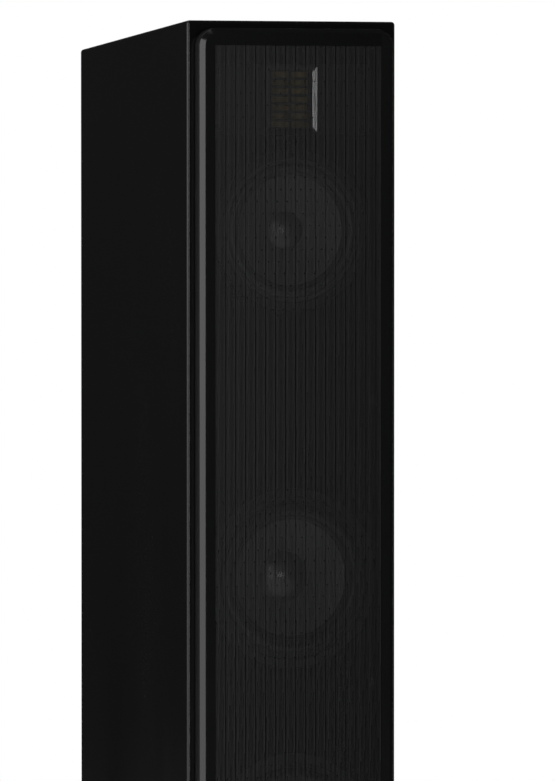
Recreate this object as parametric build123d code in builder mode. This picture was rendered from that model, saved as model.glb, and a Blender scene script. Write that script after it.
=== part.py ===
from build123d import *
import math
import os

# Floorstanding three-way loudspeaker, millimetres.
# +Z up, origin on the floor at the centre of the footprint, the baffle faces -Y, +X is the right-hand side seen from behind the listener.

# ---------------------------------------------------------------- driving dimensions
WIDTH = 194.0            # cabinet width
DEPTH = 308.0            # cabinet depth, baffle face to rear face
HEIGHT = 1080.0          # floor to the top front edge
TOP_DROP = 20.4          # how much lower the top panel's rear edge is
GRILLE_DEPTH = 17.0      # how far the grille pan stands in front of the baffle
FOOT_H = 26.0            # floor to the underside of the cabinet

SIDE_T = 18.0            # side, top and rear panel thickness
BOTTOM_T = 22.0
BAFFLE_T = 25.0
EDGE_R = 3.0             # rounding of the cabinet's outer edges

Y_FRONT = -(DEPTH + GRILLE_DEPTH) / 2 + GRILLE_DEPTH
Y_REAR = Y_FRONT + DEPTH
Z0 = FOOT_H
HALF = WIDTH / 2
IN_HALF = HALF - SIDE_T
SLOPE = TOP_DROP / DEPTH

TWEETER_Z = HEIGHT - 69.0
MID_Z = HEIGHT - 184.0
UPPER_WOOFER_Z = HEIGHT - 490.0
LOWER_WOOFER_Z = HEIGHT - 724.0

# tweeter
PLATE_W, PLATE_H, PLATE_T = 150.0, 62.0, 5.0
GUIDE_W, GUIDE_H = 47.2, 58.4        # waveguide mouth at the plate's face
THROAT_W, THROAT_H = 39.2, 52.4      # waveguide throat at the plate's back
GUIDE_D = 2.0                        # depth of the shallow bevel between the two

# driver tables: radii and depths behind the baffle face
WOOFER = dict(
    flange_r=79.0, flange_t=4.0, hole_r=72.6, body_r=72.0, seat_r=71.5, seat_d=2.6,
    roll_out=66.5, roll_in=54.5, roll_h=6.0, cone_d=2.6, neck_d=27.0, cone_t=1.2,
    coil_r=19.1, former_t=0.5, coil_t=0.7, coil_front=46.0, coil_back=64.0, cap_r=22.4, cap_apex=15.0,
    spider_r=50.0, ledge_in=46.0, spider_d=31.2, waist_r=57.0, waist_d=46.0, base_d=48.0, base_t=4.0,
    gap_r=20.3, plate_r=45.0, plate_t=6.0, magnet_in=27.0, magnet_r=49.0, magnet_t=16.0, yoke_r=45.0, yoke_t=6.0, pole_r=18.1,
    screws=6, screw_pcd_r=75.4, windows=6, window_w=34.0,
)
MIDRANGE = dict(
    flange_r=71.0, flange_t=4.0, hole_r=64.6, body_r=64.0, seat_r=63.5, seat_d=2.6,
    roll_out=59.5, roll_in=51.5, roll_h=3.6, cone_d=2.6, neck_d=22.0, cone_t=1.0,
    coil_r=12.9, former_t=0.4, coil_t=0.6, coil_front=37.0, coil_back=50.0, cap_r=16.4, cap_apex=13.4,
    spider_r=40.0, ledge_in=36.5, spider_d=26.2, waist_r=46.0, waist_d=36.0, base_d=38.0, base_t=4.0,
    gap_r=14.0, plate_r=36.0, plate_t=5.0, magnet_in=20.0, magnet_r=40.0, magnet_t=13.0, yoke_r=36.0, yoke_t=5.0, pole_r=12.0,
    screws=5, screw_pcd_r=67.4, windows=6, window_w=28.0,
)

# screws, all alike
SCREW_HEAD_R, SCREW_HEAD_T, SCREW_R, SCREW_L = 3.4, 2.2, 1.95, 14.0

# grille
GRILLE_MARGIN = 7.0
GRILLE_CORNER = 16.0
GRILLE_BEVEL = 4.2          # flat bevel round the front of the pan
GRILLE_SHEET = 1.2
GRILLE_LIP = 8.8
MAGNET_X = 77.6
MAGNET_DROPS = (24.0, 334.0, 584.0, 834.0, 1020.0)     # below the top front edge

# rear fittings
PORT_Z, PORT_R, PORT_LEN = 236.0, 32.0, 150.0
CUP_Z, CUP_W, CUP_H, CUP_DEEP = 118.0, 110.0, 78.0, 28.0
POST_X = 19.0

# feet
FOOT_X, FOOT_Y_FRONT, FOOT_Y_REAR = 72.0, Y_FRONT + 36.0, Y_REAR - 36.0
STUD_R, INSERT_BORE_R = 3.95, 4.0

os.makedirs("parts", exist_ok=True)


def top_z(y):
    """Height of the top surface at depth y."""
    return HEIGHT - (y - Y_FRONT) * SLOPE


def axial(zc):
    """Plane with x = radius and y = depth behind the baffle face, through a driver's axis."""
    return Plane(origin=(0, Y_FRONT, zc), x_dir=(1, 0, 0), z_dir=(0, 0, 1))


def axis_of(zc):
    return Axis((0, Y_FRONT, zc), (0, 1, 0))


def face_at(zc, d=0.0, xc=0.0):
    """Plane facing the listener, d behind the baffle face, local x to +X and local y up."""
    return Plane(origin=(xc, Y_FRONT + d, zc), x_dir=(1, 0, 0), z_dir=(0, -1, 0))


def rear_at(zc, d=0.0, xc=0.0):
    """Plane facing backwards, d in front of the rear face, local x to -X and local y up."""
    return Plane(origin=(xc, Y_REAR - d, zc), x_dir=(-1, 0, 0), z_dir=(0, 1, 0))


def save(builder, name):
    builder.part.label = name
    export_step(builder.part, f"parts/{name}.step")


def screw_spots(p):
    """Angles of a driver's flange screws."""
    return PolarLocations(p["screw_pcd_r"], p["screws"], start_angle=90.0)


# ---------------------------------------------------------------- cabinet
with BuildPart() as envelope:
    with BuildSketch(Plane.YZ.offset(-HALF)):
        with BuildLine():
            Polyline((Y_FRONT, Z0), (Y_REAR, Z0), (Y_REAR, top_z(Y_REAR)), (Y_FRONT, HEIGHT), close=True)
        make_face()
    extrude(amount=WIDTH)
    front_edges = envelope.faces().sort_by(Axis.Y)[0].edges()
    top_edges = envelope.faces().sort_by(Axis.Z)[-1].edges()
    rear_edges = envelope.faces().sort_by(Axis.Y)[-1].edges().filter_by(Axis.Z)
    outer = []
    for e in list(front_edges) + list(top_edges) + list(rear_edges):
        if not any(e.is_same(o) for o in outer):
            outer.append(e)
    fillet(outer, EDGE_R)

with BuildPart() as carcass:        # everything behind the baffle, open front and rear
    add(envelope.part)
    split(bisect_by=Plane(origin=(0, Y_FRONT + BAFFLE_T, 0), x_dir=(1, 0, 0), z_dir=(0, 1, 0)), keep=Keep.TOP)
    with BuildSketch(Plane.YZ.offset(-IN_HALF)):
        with BuildLine():
            Polyline(
                (Y_FRONT, Z0 + BOTTOM_T), (Y_REAR + 1, Z0 + BOTTOM_T),
                (Y_REAR + 1, top_z(Y_REAR + 1) - SIDE_T), (Y_FRONT, HEIGHT - SIDE_T), close=True,
            )
        make_face()
    extrude(amount=2 * IN_HALF, mode=Mode.SUBTRACT)

mitre_tl = Plane(origin=(-HALF, Y_FRONT, HEIGHT), x_dir=(1, 0, -1), z_dir=(-1, -SLOPE, -1))
mitre_tr = Plane(origin=(HALF, Y_FRONT, HEIGHT), x_dir=(1, 0, 1), z_dir=(1, -SLOPE, -1))
mitre_bl = Plane(origin=(-HALF, Y_FRONT, Z0), x_dir=(SIDE_T, 0, BOTTOM_T), z_dir=(-BOTTOM_T, 0, SIDE_T))
mitre_br = Plane(origin=(HALF, Y_FRONT, Z0), x_dir=(-SIDE_T, 0, BOTTOM_T), z_dir=(BOTTOM_T, 0, SIDE_T))

with BuildPart() as left_side_panel:
    add(carcass.part)
    split(bisect_by=Plane.YZ, keep=Keep.BOTTOM)
    split(bisect_by=mitre_tl, keep=Keep.TOP)
    split(bisect_by=mitre_bl, keep=Keep.TOP)
save(left_side_panel, "left_side_panel")

with BuildPart() as right_side_panel:
    add(carcass.part)
    split(bisect_by=Plane.YZ, keep=Keep.TOP)
    split(bisect_by=mitre_tr, keep=Keep.TOP)
    split(bisect_by=mitre_br, keep=Keep.TOP)
save(right_side_panel, "right_side_panel")

with BuildPart() as top_panel:
    add(carcass.part)
    split(bisect_by=mitre_tl, keep=Keep.BOTTOM)
    split(bisect_by=mitre_tr, keep=Keep.BOTTOM)
save(top_panel, "top_panel")

foot_spots = [(sx * FOOT_X, y) for y in (FOOT_Y_FRONT, FOOT_Y_REAR) for sx in (-1, 1)]

with BuildPart() as bottom_panel:
    add(carcass.part)
    split(bisect_by=mitre_bl, keep=Keep.BOTTOM)
    split(bisect_by=mitre_br, keep=Keep.BOTTOM)
    with BuildSketch(Plane.XY.offset(Z0)):      # blind holes for the foot inserts
        with Locations(*foot_spots):
            Circle(6.5)
    extrude(amount=19.0, mode=Mode.SUBTRACT)
save(bottom_panel, "bottom_panel")

with BuildPart() as rear_panel:
    with BuildSketch(Plane.YZ.offset(-IN_HALF)):
        with BuildLine():
            Polyline(
                (Y_REAR - SIDE_T, Z0 + BOTTOM_T), (Y_REAR, Z0 + BOTTOM_T),
                (Y_REAR, top_z(Y_REAR) - SIDE_T), (Y_REAR - SIDE_T, top_z(Y_REAR - SIDE_T) - SIDE_T), close=True,
            )
        make_face()
    extrude(amount=2 * IN_HALF)
    with BuildSketch(rear_at(PORT_Z)):
        Circle(42.2)
    extrude(amount=-SIDE_T, mode=Mode.SUBTRACT)
    with BuildSketch(rear_at(PORT_Z)):
        Circle(49.2)
    extrude(amount=-3.0, mode=Mode.SUBTRACT)
    with BuildSketch(rear_at(CUP_Z)):
        RectangleRounded(CUP_W + 0.4, CUP_H + 0.4, 8.2)
    extrude(amount=-2.5, mode=Mode.SUBTRACT)
    with BuildSketch(rear_at(CUP_Z)):
        RectangleRounded(CUP_W - 20, CUP_H - 18, 5)
    extrude(amount=-SIDE_T, mode=Mode.SUBTRACT)
    with BuildSketch(rear_at(CUP_Z)):
        with GridLocations(CUP_W - 10, CUP_H - 9, 2, 2):
            Circle(2.0)
    extrude(amount=-17.0, mode=Mode.SUBTRACT)
    with BuildSketch(rear_at(585.0, SIDE_T)):   # pilot holes for the crossover board, from inside
        with GridLocations(118, 108, 2, 2):
            Circle(2.0)
    extrude(amount=12.0, mode=Mode.SUBTRACT)
save(rear_panel, "rear_panel")

with BuildPart() as front_baffle:
    add(envelope.part)
    split(bisect_by=Plane(origin=(0, Y_FRONT + BAFFLE_T, 0), x_dir=(1, 0, 0), z_dir=(0, 1, 0)), keep=Keep.BOTTOM)
    for zc, p in ((MID_Z, MIDRANGE), (UPPER_WOOFER_Z, WOOFER), (LOWER_WOOFER_Z, WOOFER)):
        with BuildSketch(face_at(zc)):
            Circle(p["flange_r"] + 0.2)
        extrude(amount=-p["flange_t"], mode=Mode.SUBTRACT)
        with BuildSketch(face_at(zc)):
            Circle(p["hole_r"])
        extrude(amount=-BAFFLE_T, mode=Mode.SUBTRACT)
        with BuildSketch(face_at(zc, BAFFLE_T)):    # relief behind the cut-out, so the cone can breathe
            Circle(p["hole_r"] + 6)
            Circle(p["hole_r"] - 1, mode=Mode.SUBTRACT)
        extrude(amount=8.0, taper=40, mode=Mode.SUBTRACT)
        with BuildSketch(face_at(zc)):
            with screw_spots(p):
                Circle(2.0)
        extrude(amount=-17.0, mode=Mode.SUBTRACT)
    with BuildSketch(face_at(TWEETER_Z)):
        RectangleRounded(PLATE_W + 0.4, PLATE_H + 0.4, 6.2)
    extrude(amount=-PLATE_T, mode=Mode.SUBTRACT)
    with BuildSketch(face_at(TWEETER_Z)):
        RectangleRounded(64.0, 57.0, 3)
    extrude(amount=-BAFFLE_T, mode=Mode.SUBTRACT)
    with BuildSketch(face_at(TWEETER_Z)):
        with GridLocations(PLATE_W - 14, PLATE_H - 14, 2, 2):
            Circle(2.0)
    extrude(amount=-17.0, mode=Mode.SUBTRACT)
    for drop in MAGNET_DROPS:
        with BuildSketch(face_at(HEIGHT - drop)):
            with Locations((-MAGNET_X, 0), (MAGNET_X, 0)):
                Circle(5.0)
        extrude(amount=-5.0, mode=Mode.SUBTRACT)
save(front_baffle, "front_baffle")

with BuildPart() as grille_magnets:     # nickel-plated discs let in flush with the baffle
    for drop in MAGNET_DROPS:
        with BuildSketch(face_at(HEIGHT - drop)):
            with Locations((-MAGNET_X, 0), (MAGNET_X, 0)):
                Circle(5.0)
        extrude(amount=-5.0)
save(grille_magnets, "grille_magnets")

# sealed shelf under the midrange and tweeter chamber
SHELF_Z = 771.0
with BuildPart() as midrange_chamber_shelf:
    with BuildSketch(Plane.XY.offset(SHELF_Z)):
        with Locations((0, (Y_FRONT + BAFFLE_T + Y_REAR - SIDE_T) / 2)):
            Rectangle(2 * IN_HALF, DEPTH - BAFFLE_T - SIDE_T)
        with Locations((-40, 80), (40, 80)):
            Circle(1.7, mode=Mode.SUBTRACT)
    extrude(amount=18.0)
save(midrange_chamber_shelf, "midrange_chamber_shelf")

with BuildPart() as window_braces:      # two frames that tie the side panels together
    for z in (463.0, 681.0):
        with BuildSketch(Plane.XY.offset(z)):
            with Locations((0, (Y_FRONT + BAFFLE_T + Y_REAR - SIDE_T) / 2)):
                Rectangle(2 * IN_HALF, DEPTH - BAFFLE_T - SIDE_T)
                with Locations((0, -62), (0, 62)):
                    RectangleRounded(112, 92, 14, mode=Mode.SUBTRACT)
        extrude(amount=18.0)
save(window_braces, "window_braces")

with BuildPart() as damping_wadding:    # sheets that line the chambers
    for x0, x1, y0, y1, z0, z1 in (
        (-70, 70, 108, 135.5, 796, 1030),
        (-78, -58, -70, 130, 486, 676),
        (58, 78, -70, 130, 486, 676),
        (-78, -58, -70, 130, 54, 458),
        (58, 78, -70, 130, 54, 458),
    ):
        with BuildSketch(Plane.XY.offset(z0)):
            with Locations(((x0 + x1) / 2, (y0 + y1) / 2)):
                RectangleRounded(x1 - x0, y1 - y0, 7)
        extrude(amount=z1 - z0)
save(damping_wadding, "damping_wadding")

# ---------------------------------------------------------------- folded-ribbon tweeter
with BuildPart() as tweeter_faceplate:
    with BuildSketch(face_at(TWEETER_Z)):
        RectangleRounded(PLATE_W, PLATE_H, 6)
    extrude(amount=-PLATE_T)
    with BuildSketch(face_at(TWEETER_Z)):
        Rectangle(GUIDE_W, GUIDE_H)
    with BuildSketch(face_at(TWEETER_Z, GUIDE_D)):
        Rectangle(THROAT_W, THROAT_H)
    loft(mode=Mode.SUBTRACT)
    with BuildSketch(face_at(TWEETER_Z, GUIDE_D)):
        Rectangle(THROAT_W, THROAT_H)
    extrude(amount=-(PLATE_T - GUIDE_D), mode=Mode.SUBTRACT)
    with BuildSketch(face_at(TWEETER_Z)):
        with GridLocations(PLATE_W - 14, PLATE_H - 14, 2, 2):
            Circle(2.1)
    extrude(amount=-PLATE_T, mode=Mode.SUBTRACT)
    with BuildSketch(face_at(TWEETER_Z)):
        with GridLocations(PLATE_W - 14, PLATE_H - 14, 2, 2):
            Circle(SCREW_HEAD_R + 0.2)
    extrude(amount=-SCREW_HEAD_T, mode=Mode.SUBTRACT)
save(tweeter_faceplate, "tweeter_faceplate")

with BuildPart() as tweeter_pole_grid:      # steel front pole: a ladder of seven rungs with a centre rib
    with BuildSketch(face_at(TWEETER_Z, PLATE_T)):
        Rectangle(56.0, 55.0)
        with GridLocations(18.2, 7.3, 2, 7):
            RectangleRounded(16.6, 5.2, 0.8, mode=Mode.SUBTRACT)
    extrude(amount=-2.0)
save(tweeter_pole_grid, "tweeter_pole_grid")

PLEATS, PLEAT_P, PLEAT_D, FOIL = 16, 2.2, 4.4, 0.3
with BuildPart() as tweeter_diaphragm:      # vertical pleats between the magnet bars
    with BuildSketch(Plane(origin=(0, Y_FRONT + PLATE_T + 3.2, TWEETER_Z - 26), x_dir=(1, 0, 0), z_dir=(0, 0, 1))):
        with BuildLine():
            x_start = -PLEATS * PLEAT_P / 2
            fore, aft = [], []
            for i in range(2 * PLEATS + 1):
                x = x_start + i * PLEAT_P / 2
                d = 0.0 if i % 2 else PLEAT_D
                fore.append((x, d))
                aft.append((x, d + 2.2 * FOIL))
            Polyline(*fore, *reversed(aft), close=True)
        make_face()
    extrude(amount=52.0)
save(tweeter_diaphragm, "tweeter_diaphragm")

with BuildPart() as tweeter_magnets:        # two neodymium bars beside the pleats
    with BuildSketch(face_at(TWEETER_Z, PLATE_T + 2.0)):
        with Locations((-23.4, 0), (23.4, 0)):
            Rectangle(9.0, 54.0)
    extrude(amount=-11.0)
save(tweeter_magnets, "tweeter_magnets")

with BuildPart() as tweeter_back_plate:     # steel yoke that closes the motor, slotted for the rear wave
    with BuildSketch(face_at(TWEETER_Z, PLATE_T + 13.0)):
        RectangleRounded(62.0, 55.0, 2)
        with GridLocations(18.2, 7.3, 2, 7):
            RectangleRounded(16.6, 5.2, 0.8, mode=Mode.SUBTRACT)
    extrude(amount=-2.0)
    with BuildSketch(face_at(TWEETER_Z, PLATE_T + 15.0)):   # moulded rear chamber
        RectangleRounded(62.0, 55.0, 2)
        RectangleRounded(56.0, 49.0, 1.5, mode=Mode.SUBTRACT)
    extrude(amount=-16.0)
    with BuildSketch(face_at(TWEETER_Z, PLATE_T + 31.0)):
        RectangleRounded(62.0, 55.0, 2)
    extrude(amount=-3.0)
save(tweeter_back_plate, "tweeter_back_plate")


# ---------------------------------------------------------------- cone drivers
def make_baskets(zs, p, name):
    """Cast frame: flange, seat for the surround, raked legs, spider ledge and base ring."""
    fr, ft = p["flange_r"], p["flange_t"]
    sd, sr = p["seat_d"], p["seat_r"]
    ro = p["roll_out"]
    wr, wd, bd, bt = p["waist_r"], p["waist_d"], p["base_d"], p["base_t"]
    rake = (wr - p["body_r"] + 1.0) / (wd - 9.0)
    inner = lambda d: p["body_r"] - 1.0 - 3.4 + rake * (d - 9.0)
    ledge = p["spider_d"] + 0.8
    with BuildPart() as baskets:
        for zc in zs:
            with BuildSketch(axial(zc)):
                with BuildLine():
                    Polyline(
                        (sr + 0.8, 0.0), (fr, 0.0), (fr, ft), (p["body_r"], ft), (p["body_r"] - 1.0, 9.0),
                        (wr, wd), (wr, bd + bt), (p["gap_r"] + 1.2, bd + bt), (p["gap_r"] + 1.2, bd),
                        (wr - 4.0, bd), (inner(ledge + 2.2), ledge + 2.2), (p["ledge_in"], ledge + 2.2),
                        (p["ledge_in"], ledge), (inner(ledge), ledge),
                        (ro + 0.5, 9.0), (ro + 0.5, sd + 1.0), (ro - 0.2, sd + 1.0), (ro - 0.2, sd), (sr, sd), (sr, 0.8),
                        close=True,
                    )
                make_face()
            revolve(axis=axis_of(zc))
            with BuildSketch(face_at(zc, ledge + 3.2)):
                with PolarLocations(wr + 2.0, p["windows"]):
                    Rectangle(24.0, p["window_w"] * 0.72)
            extrude(amount=-(bd - 1.5 - ledge - 3.2), mode=Mode.SUBTRACT)
            with BuildSketch(face_at(zc, 12.0)):
                with PolarLocations(p["body_r"] + 2.0, p["windows"]):
                    Rectangle(30.0, p["window_w"])
            extrude(amount=-(ledge - 14.0), mode=Mode.SUBTRACT)
            with BuildSketch(face_at(zc)):
                with screw_spots(p):
                    Circle(2.1)
            extrude(amount=-ft, mode=Mode.SUBTRACT)
            with BuildSketch(face_at(zc)):
                with screw_spots(p):
                    Circle(SCREW_HEAD_R + 0.15)
            extrude(amount=-SCREW_HEAD_T, mode=Mode.SUBTRACT)
    save(baskets, name)


def make_surround(zc, p, name):
    """Rubber half-roll between the frame's seat and the cone's rim."""
    ro, ri, rh, sd = p["roll_out"], p["roll_in"], p["roll_h"], p["seat_d"]
    rm, t = (ro + ri) / 2, 1.0
    with BuildPart() as surround:
        with BuildSketch(axial(zc)):
            with BuildLine():
                a = (p["seat_r"] - 0.1, sd)
                b = (p["seat_r"] - 0.1, sd - t)
                c = (ro, sd - t)
                apex = (rm, sd - t - rh)
                e = (ri, sd - t)
                f = (ri - 3.2, sd - t + 2.0)
                g = (ri - 3.2, sd + 2.0)
                m = (ri, sd)
                h = (ri + t, sd)
                apex_in = (rm, sd - rh)
                k = (ro - t, sd)
                Line(a, b)
                Line(b, c)
                ThreePointArc(c, apex, e)
                Line(e, f)
                Line(f, g)
                Line(g, m)
                Line(m, h)
                ThreePointArc(h, apex_in, k)
                Line(k, a)
            make_face()
        revolve(axis=axis_of(zc))
    save(surround, name)


def make_cone(zc, p, name):
    """Flared paper cone from the surround's glue line down to the voice-coil neck."""
    r0, d0 = p["roll_in"] + 0.2, p["seat_d"] + 0.15
    r1, d1, t = p["coil_r"] + 0.02, p["neck_d"], p["cone_t"]
    rm, dm = r1 + 0.46 * (r0 - r1), d0 + 0.475 * (d1 - d0)
    with BuildPart() as cone:
        with BuildSketch(axial(zc)):
            with BuildLine():
                Line((r0, d0 + t), (r0, d0))
                Line((r0, d0), (r0 - 0.2, d0))
                Line((r0 - 0.2, d0), (r0 - 3.6, d0 + 2.1))
                ThreePointArc((r0 - 3.6, d0 + 2.1), (rm, dm), (r1, d1))
                Line((r1, d1), (r1, d1 + t + 1.2))
                ThreePointArc((r1, d1 + t + 1.2), (rm, dm + t + 0.3), (r0 - 3.6, d0 + 2.1 + t))
                Line((r0 - 3.6, d0 + 2.1 + t), (r0, d0 + t))
            make_face()
        revolve(axis=axis_of(zc))
    save(cone, name)


def make_dust_cap(zc, p, name):
    """Domed cap glued to the cone over the voice coil."""
    r, apex = p["cap_r"], p["cap_apex"]
    edge = p["neck_d"] - (3.4 if r > 20 else 3.2)
    sphere = (r**2 + (edge - apex) ** 2) / (2 * (edge - apex))
    t = math.asin(r / sphere)
    at = lambda rr, a: (rr * math.sin(a), apex + sphere - rr * math.cos(a))
    with BuildPart() as cap:
        with BuildSketch(axial(zc)):
            with BuildLine():
                Line(at(sphere, 0), at(sphere - 0.8, 0))
                ThreePointArc(at(sphere - 0.8, 0), at(sphere - 0.8, t / 2), at(sphere - 0.8, t))
                Line(at(sphere - 0.8, t), at(sphere, t))
                ThreePointArc(at(sphere, t), at(sphere, t / 2), at(sphere, 0))
            make_face()
        revolve(axis=axis_of(zc))
    save(cap, name)


def make_voice_coil(zc, p, name):
    """Former tube with its copper winding."""
    r, ft = p["coil_r"], p["former_t"]
    with BuildPart() as coil:
        with BuildSketch(axial(zc)):
            with BuildLine():
                Polyline(
                    (r - ft, p["neck_d"] - 2.0), (r, p["neck_d"] - 2.0), (r, p["coil_front"]),
                    (r + p["coil_t"], p["coil_front"]), (r + p["coil_t"], p["coil_back"]), (r - ft, p["coil_back"]), close=True,
                )
            make_face()
        revolve(axis=axis_of(zc))
    save(coil, name)


def make_spider(zc, p, name):
    """Corrugated suspension from the frame's ledge to the former."""
    r0, r1, d = p["coil_r"] + 0.15, p["spider_r"], p["spider_d"]
    waves = 7
    fore, aft = [(r0, d - 1.2), (r0 + 2.5, d)], [(r0, d - 0.6), (r0 + 2.5, d + 0.6)]
    span = (p["ledge_in"] - 1.5) - (r0 + 2.5)
    for i in range(1, 2 * waves):
        rr = r0 + 2.5 + span * i / (2 * waves)
        off = 1.1 if i % 2 else -0.9
        fore.append((rr, d + off))
        aft.append((rr, d + off + 0.6))
    fore += [(p["ledge_in"] - 1.5, d + 0.1), (r1, d + 0.1)]
    aft += [(p["ledge_in"] - 1.5, d + 0.75), (r1, d + 0.75)]
    with BuildPart() as spider:
        with BuildSketch(axial(zc)):
            with BuildLine():
                Polyline(*fore, *reversed(aft), close=True)
            make_face()
        revolve(axis=axis_of(zc))
    save(spider, name)


def make_rings(zs, r_in, r_out, d0, d1, name, ease=0.0):
    """Flat rings on the drivers' axes."""
    with BuildPart() as rings:
        for zc in zs:
            with BuildSketch(axial(zc)):
                with BuildLine():
                    Polyline(
                        (r_in, d0), (r_out - ease, d0), (r_out, d0 + ease), (r_out, d1 - ease), (r_out - ease, d1), (r_in, d1),
                        close=True,
                    )
                make_face()
            revolve(axis=axis_of(zc))
    save(rings, name)


def make_yokes(zs, p, name):
    """Back plate with its pole piece."""
    d0 = p["base_d"] + p["base_t"]
    d1 = d0 + p["plate_t"] + p["magnet_t"]
    d2 = d1 + p["yoke_t"]
    with BuildPart() as yokes:
        for zc in zs:
            with BuildSketch(axial(zc)):
                with BuildLine():
                    Polyline(
                        (5.0, d0 - 1.0), (p["pole_r"] - 1.0, d0 - 1.0), (p["pole_r"], d0), (p["pole_r"], d1),
                        (p["yoke_r"], d1), (p["yoke_r"], d2 - 1.5), (p["yoke_r"] - 1.5, d2), (7.0, d2), (5.0, d2 - 2.0), close=True,
                    )
                make_face()
            revolve(axis=axis_of(zc))
    save(yokes, name)


WOOFER_ZS = (UPPER_WOOFER_Z, LOWER_WOOFER_Z)
for zs, p, basket, front, magnet, yoke in (
    ((MID_Z,), MIDRANGE, "midrange_basket", "midrange_front_plate", "midrange_magnet", "midrange_t_yoke"),
    (WOOFER_ZS, WOOFER, "woofer_baskets", "woofer_front_plates", "woofer_magnets", "woofer_t_yokes"),
):
    make_baskets(zs, p, basket)
    m0 = p["base_d"] + p["base_t"]
    m1 = m0 + p["plate_t"]
    m2 = m1 + p["magnet_t"]
    make_rings(zs, p["gap_r"], p["plate_r"], m0, m1, front, 0.8)
    make_rings(zs, p["magnet_in"], p["magnet_r"], m1, m2, magnet, 1.6)
    make_yokes(zs, p, yoke)

for zc, p, prefix in (
    (MID_Z, MIDRANGE, "midrange"), (UPPER_WOOFER_Z, WOOFER, "upper_woofer"), (LOWER_WOOFER_Z, WOOFER, "lower_woofer"),
):
    make_surround(zc, p, prefix + "_surround")
    make_cone(zc, p, prefix + "_cone")
    make_dust_cap(zc, p, prefix + "_dust_cap")
    make_voice_coil(zc, p, prefix + "_voice_coil")
    make_spider(zc, p, prefix + "_spider")

# ---------------------------------------------------------------- screws, all the same size
with BuildPart() as wood_screws:
    for zc, p in ((MID_Z, MIDRANGE), (UPPER_WOOFER_Z, WOOFER), (LOWER_WOOFER_Z, WOOFER)):
        with BuildSketch(face_at(zc, 0.1)):
            with screw_spots(p):
                Circle(SCREW_HEAD_R)
                RegularPolygon(1.7, 6, mode=Mode.SUBTRACT)
        extrude(amount=-1.2)
        with BuildSketch(face_at(zc, 1.3)):
            with screw_spots(p):
                Circle(SCREW_HEAD_R)
        extrude(amount=-(SCREW_HEAD_T - 1.3))
        with BuildSketch(face_at(zc, SCREW_HEAD_T)):
            with screw_spots(p):
                Circle(SCREW_R)
        extrude(amount=-SCREW_L)
    for plane, gx, gy in (
        (face_at(TWEETER_Z), PLATE_W - 14, PLATE_H - 14),
        (rear_at(CUP_Z), CUP_W - 10, CUP_H - 9),
        (Plane(origin=(0, Y_REAR - SIDE_T - 3.0 - SCREW_HEAD_T, 585.0), x_dir=(1, 0, 0), z_dir=(0, -1, 0)), 118, 108),
    ):
        with BuildSketch(plane.offset(-0.1)):
            with GridLocations(gx, gy, 2, 2):
                Circle(SCREW_HEAD_R)
                RegularPolygon(1.7, 6, mode=Mode.SUBTRACT)
        extrude(amount=-1.2)
        with BuildSketch(plane.offset(-1.3)):
            with GridLocations(gx, gy, 2, 2):
                Circle(SCREW_HEAD_R)
        extrude(amount=-(SCREW_HEAD_T - 1.3))
        with BuildSketch(plane.offset(-SCREW_HEAD_T)):
            with GridLocations(gx, gy, 2, 2):
                Circle(SCREW_R)
        extrude(amount=-SCREW_L)
save(wood_screws, "wood_screws")

# ---------------------------------------------------------------- grille
G_W = WIDTH - 2 * GRILLE_MARGIN
G_Z0, G_Z1 = Z0 + GRILLE_MARGIN, HEIGHT - GRILLE_MARGIN
G_H, G_ZC = G_Z1 - G_Z0, (G_Z1 + G_Z0) / 2
with BuildPart() as grille:
    with BuildSketch(face_at(G_ZC, -0.2)):
        RectangleRounded(G_W, G_H, GRILLE_CORNER)
    extrude(amount=GRILLE_DEPTH - 0.2)
    chamfer(grille.faces().sort_by(Axis.Y)[0].edges(), GRILLE_BEVEL)
    offset(amount=-GRILLE_SHEET, openings=grille.faces().sort_by(Axis.Y)[-1])
    with BuildSketch(face_at(G_ZC, -0.2)):      # return lip that the magnets hold
        RectangleRounded(G_W - 1.0, G_H - 1.0, GRILLE_CORNER - 0.5)
        RectangleRounded(
            G_W - 2 * (GRILLE_SHEET + GRILLE_LIP), G_H - 2 * (GRILLE_SHEET + GRILLE_LIP),
            GRILLE_CORNER - GRILLE_SHEET - GRILLE_LIP, mode=Mode.SUBTRACT,
        )
    extrude(amount=1.2)
    with BuildSketch(face_at(G_ZC, -GRILLE_DEPTH)):
        with GridLocations(6.2, 66.5, 25, 15):
            SlotOverall(62.0, 3.0, rotation=90)
    extrude(amount=-3.0, mode=Mode.SUBTRACT)
save(grille, "grille")

# ---------------------------------------------------------------- rear fittings
with BuildPart() as port_tube:
    with BuildSketch(Plane(origin=(0, Y_REAR, PORT_Z), x_dir=(1, 0, 0), z_dir=(0, 0, -1))):   # x = radius, y = -Y
        with BuildLine():
            r = PORT_R
            Line((49.0, 0), (46.0, 0))
            ThreePointArc((46.0, 0), (36.6, 6.4), (r, 20.0))
            Line((r, 20.0), (r, PORT_LEN - 14.0))
            ThreePointArc((r, PORT_LEN - 14.0), (r + 3.6, PORT_LEN - 4.0), (r + 12.0, PORT_LEN))
            Line((r + 12.0, PORT_LEN), (r + 12.0, PORT_LEN - 3.0))
            ThreePointArc((r + 12.0, PORT_LEN - 3.0), (r + 6.6, PORT_LEN - 6.6), (r + 4.2, PORT_LEN - 14.0))
            Line((r + 4.2, PORT_LEN - 14.0), (r + 4.2, 24.0))
            Line((r + 4.2, 24.0), (42.0, 16.0))
            Line((42.0, 16.0), (42.0, 3.0))
            Line((42.0, 3.0), (49.0, 3.0))
            Line((49.0, 3.0), (49.0, 0))
        make_face()
    revolve(axis=Axis((0, Y_REAR, PORT_Z), (0, 1, 0)))
save(port_tube, "port_tube")

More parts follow.
